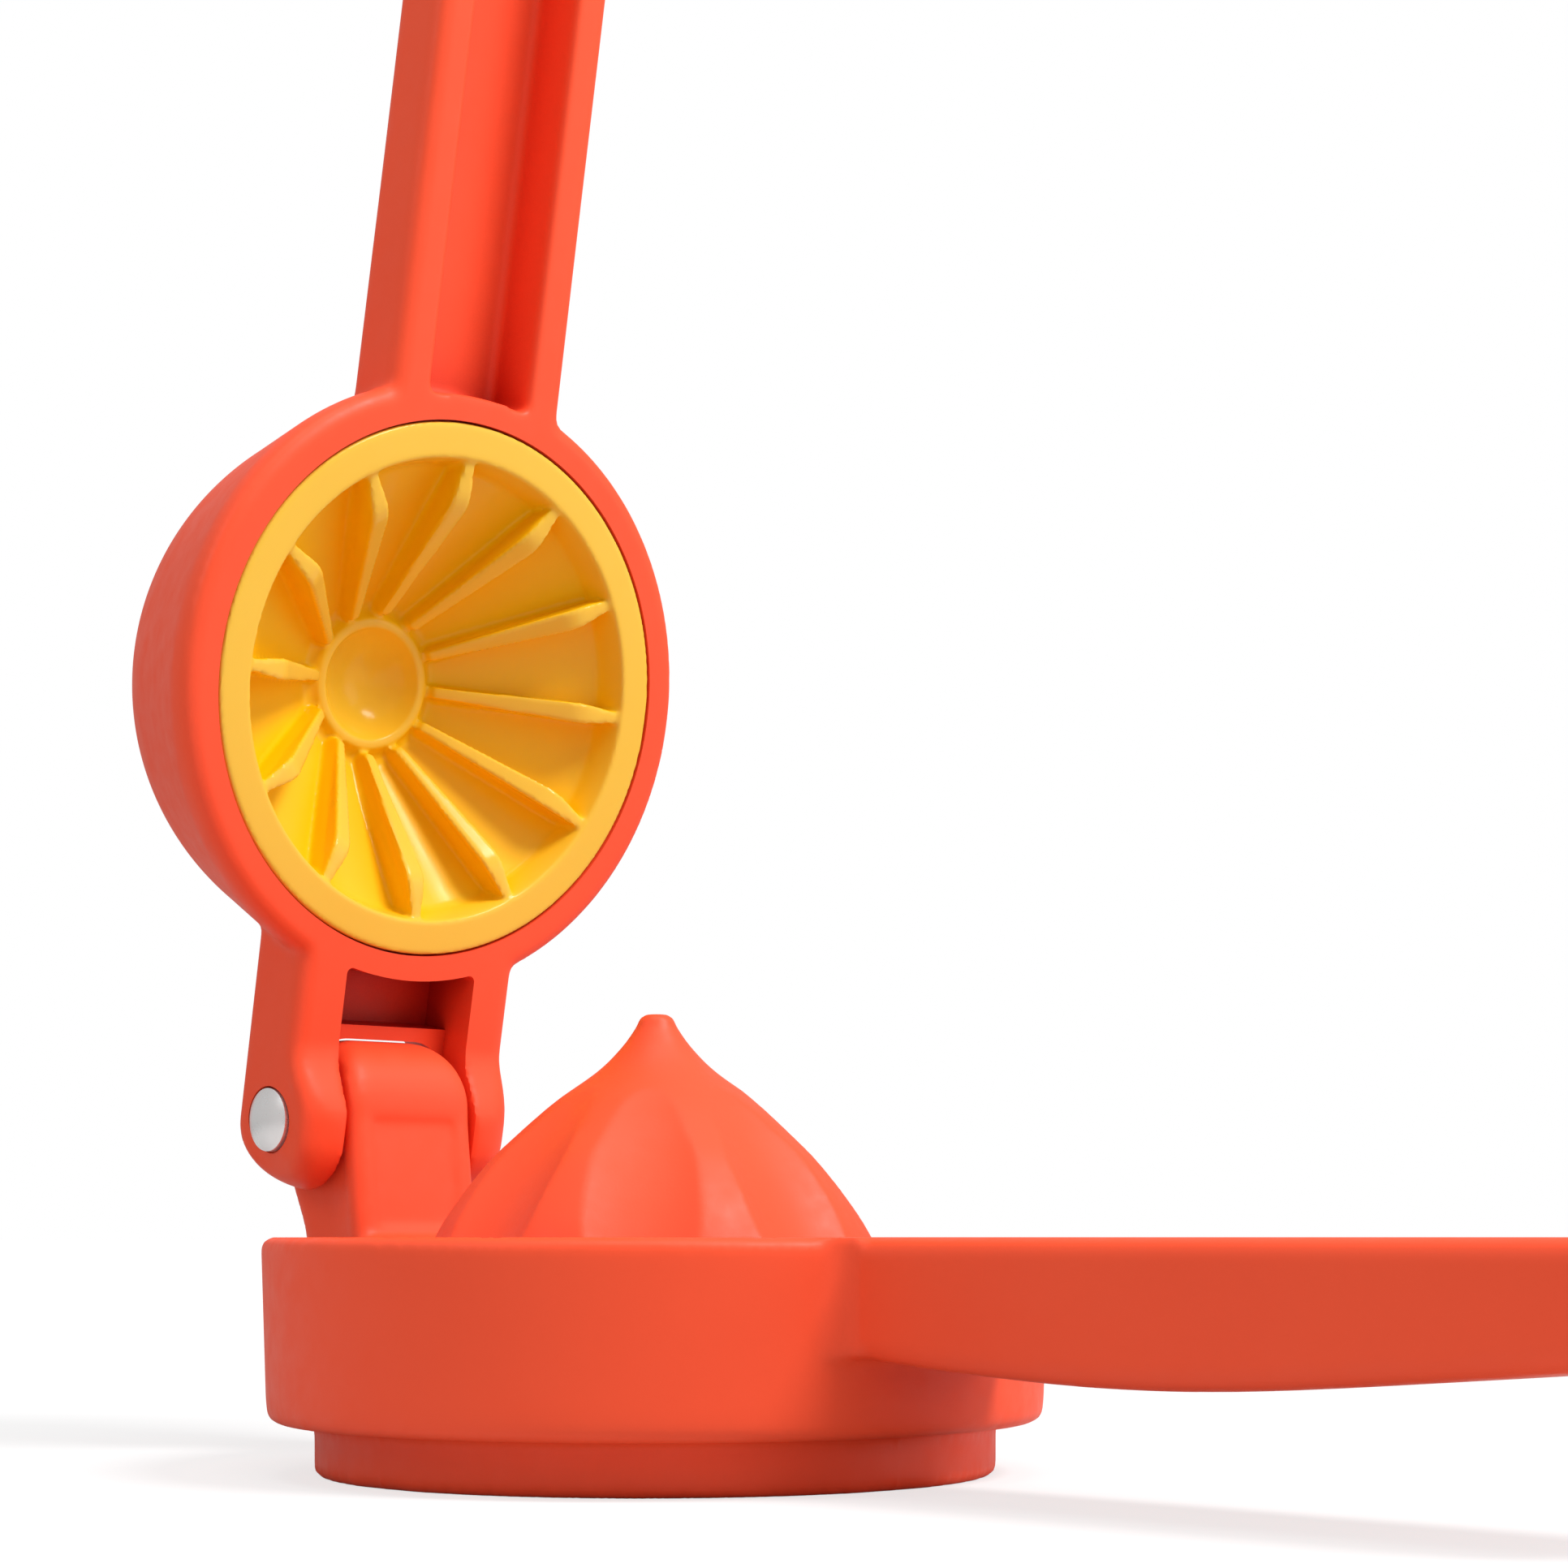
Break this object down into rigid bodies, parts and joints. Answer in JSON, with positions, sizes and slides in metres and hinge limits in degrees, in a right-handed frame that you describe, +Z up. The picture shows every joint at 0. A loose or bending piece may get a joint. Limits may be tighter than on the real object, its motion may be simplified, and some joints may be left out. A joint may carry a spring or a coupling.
{
  "type": "lever citrus press",
  "caption": "Hand press for citrus halves: fluted reamer over a slotted strainer in a round base, and a hinged arm with a ribbed cup.",
  "frame": {"origin": "on the base's axis, in the plane of the underside seat that rests on a vessel's rim", "axes": "+X along the lower handle, +Y along the hinge pin, +Z up through the reamer's tip"},
  "size_m": [0.2917, 0.1198, 0.3097],
  "materials": {
    "shell": "satin red-orange",
    "insert": "glossy amber yellow",
    "pin": "satin"
  },
  "bodies": {
    "base": {"base_body": "shell", "reamer_strainer": "shell"},
    "arm": {"press_arm": "shell", "press_insert": "insert", "hinge_pin": "pin", "hinge_pin_cap": "pin"}
  },
  "joints": [
    {"name": "arm_hinge", "type": "hinge", "parent": "base", "child": "arm", "pos_m": [-0.0734, 0, 0.0475], "axis": [0, 1, 0], "range_deg": [-25, 78.5]}
  ]
}
